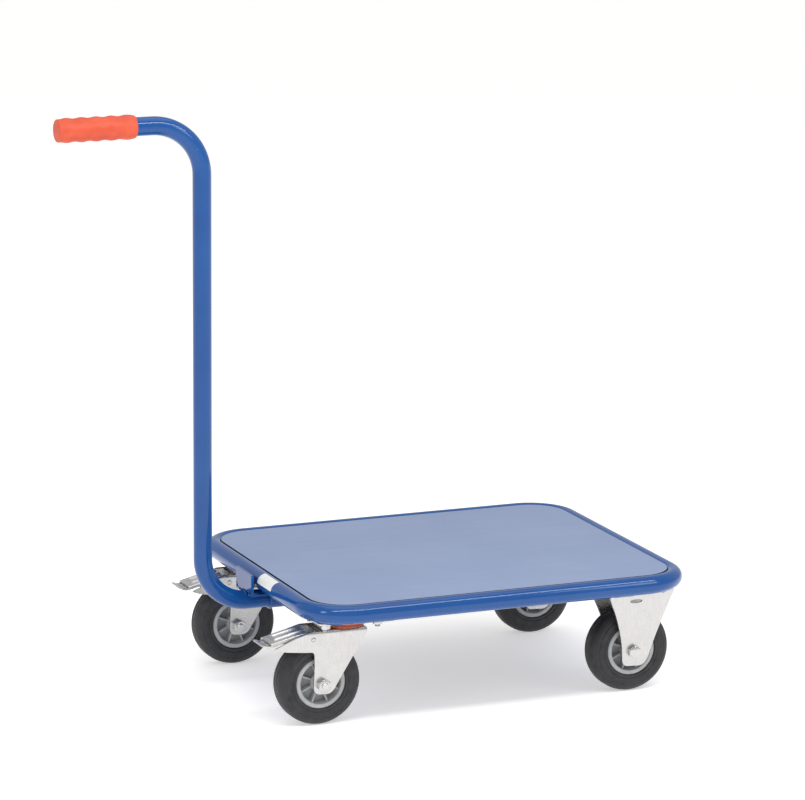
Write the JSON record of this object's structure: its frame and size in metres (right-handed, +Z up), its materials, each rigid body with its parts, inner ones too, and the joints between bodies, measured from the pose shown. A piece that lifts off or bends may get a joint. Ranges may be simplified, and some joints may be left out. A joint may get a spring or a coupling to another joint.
{
  "type": "platform dolly",
  "caption": "Low platform dolly with a tubular frame, a flush board, a gooseneck pull handle, braked swivel casters behind and fixed casters in front.",
  "frame": {"origin": "on the floor, under the middle of the whole length from the grip's end to the frame's front", "axes": "+X along the platform towards the fixed casters, away from the handle; +Y to the left of a person at the handle; +Z up"},
  "size_m": [0.8886, 0.5, 0.859],
  "materials": {
    "blue_paint": "glossy blue powder coat on steel tube",
    "deck_board": "wood board with a matt blue-grey laminate face",
    "orange_grip": "soft orange-red moulded grip",
    "seal_ring": "orange-red moulded dust seal",
    "zinc_steel": "bright zinc-plated pressed steel",
    "zinc_bolts": "bright zinc-plated turned steel",
    "tyre": "solid black rubber",
    "grey_rim": "grey moulded plastic wheel centre"
  },
  "bodies": {
    "frame": {"frame_tube": "blue_paint", "deck_board": "deck_board", "rear_crossbar": "blue_paint", "front_crossbar": "blue_paint", "handle_socket": "blue_paint", "top_plate_rear_right": "zinc_steel", "ball_race_rear_right": "zinc_steel", "kingpin_rear_right": "zinc_steel", "swivel_seal_rear_right": "seal_ring", "plate_bolt_rear_right_1": "zinc_bolts", "plate_bolt_rear_right_2": "zinc_bolts", "plate_bolt_rear_right_3": "zinc_bolts", "plate_bolt_rear_right_4": "zinc_bolts", "top_plate_rear_left": "zinc_steel", "ball_race_rear_left": "zinc_steel", "kingpin_rear_left": "zinc_steel", "swivel_seal_rear_left": "seal_ring", "plate_bolt_rear_left_1": "zinc_bolts", "plate_bolt_rear_left_2": "zinc_bolts", "plate_bolt_rear_left_3": "zinc_bolts", "plate_bolt_rear_left_4": "zinc_bolts", "fixed_bracket_front_right": "zinc_steel", "axle_bolt_front_right": "zinc_bolts", "axle_nut_front_right": "zinc_bolts", "axle_spacer_front_right": "zinc_bolts", "fixed_bracket_front_left": "zinc_steel", "axle_bolt_front_left": "zinc_bolts", "axle_nut_front_left": "zinc_bolts", "axle_spacer_front_left": "zinc_bolts"},
    "handle": {"handle_tube": "blue_paint", "handle_grip": "orange_grip", "handle_stop_plate": "blue_paint"},
    "swivel_rear_right": {"fork_rear_right": "zinc_steel", "axle_bolt_rear_right": "zinc_bolts", "axle_nut_rear_right": "zinc_bolts", "axle_spacer_rear_right": "zinc_bolts", "brake_pin_rear_right": "zinc_bolts"},
    "brake_rear_right": {"brake_pedal_rear_right": "zinc_steel", "brake_release_tab_rear_right": "zinc_steel", "brake_shoe_rear_right": "zinc_steel"},
    "swivel_rear_left": {"fork_rear_left": "zinc_steel", "axle_bolt_rear_left": "zinc_bolts", "axle_nut_rear_left": "zinc_bolts", "axle_spacer_rear_left": "zinc_bolts", "brake_pin_rear_left": "zinc_bolts"},
    "brake_rear_left": {"brake_pedal_rear_left": "zinc_steel", "brake_release_tab_rear_left": "zinc_steel", "brake_shoe_rear_left": "zinc_steel"},
    "wheel_rear_right": {"tyre_rear_right": "tyre", "rim_rear_right": "grey_rim"},
    "wheel_rear_left": {"tyre_rear_left": "tyre", "rim_rear_left": "grey_rim"},
    "wheel_front_right": {"tyre_front_right": "tyre", "rim_front_right": "grey_rim"},
    "wheel_front_left": {"tyre_front_left": "tyre", "rim_front_left": "grey_rim"}
  },
  "joints": [
    {"name": "handle_pull", "type": "slide", "parent": "frame", "child": "handle", "axis": [-1, 0, 0], "range_m": [0, 0.11]},
    {"name": "swivel_rear_right", "type": "hinge", "parent": "frame", "child": "swivel_rear_right", "pos_m": [-0.0794, -0.1702, 0.145], "axis": [0, 0, 1], "continuous": true},
    {"name": "roll_rear_right", "type": "hinge", "parent": "swivel_rear_right", "child": "wheel_rear_right", "pos_m": [-0.1204, -0.1702, 0.0625], "axis": [0, 1, 0], "continuous": true},
    {"name": "brake_rear_right", "type": "hinge", "parent": "swivel_rear_right", "child": "brake_rear_right", "pos_m": [-0.1349, -0.1702, 0.1296], "axis": [0, -1, 0], "range_deg": [0, 8]},
    {"name": "swivel_rear_left", "type": "hinge", "parent": "frame", "child": "swivel_rear_left", "pos_m": [-0.0794, 0.1702, 0.145], "axis": [0, 0, 1], "continuous": true},
    {"name": "roll_rear_left", "type": "hinge", "parent": "swivel_rear_left", "child": "wheel_rear_left", "pos_m": [-0.1204, 0.1702, 0.0625], "axis": [0, 1, 0], "continuous": true},
    {"name": "brake_rear_left", "type": "hinge", "parent": "swivel_rear_left", "child": "brake_rear_left", "pos_m": [-0.1349, 0.1702, 0.1296], "axis": [0, -1, 0], "range_deg": [0, 8]},
    {"name": "roll_front_right", "type": "hinge", "parent": "frame", "child": "wheel_front_right", "pos_m": [0.3655, -0.1702, 0.0625], "axis": [0, 1, 0], "continuous": true},
    {"name": "roll_front_left", "type": "hinge", "parent": "frame", "child": "wheel_front_left", "pos_m": [0.3655, 0.1702, 0.0625], "axis": [0, 1, 0], "continuous": true}
  ]
}
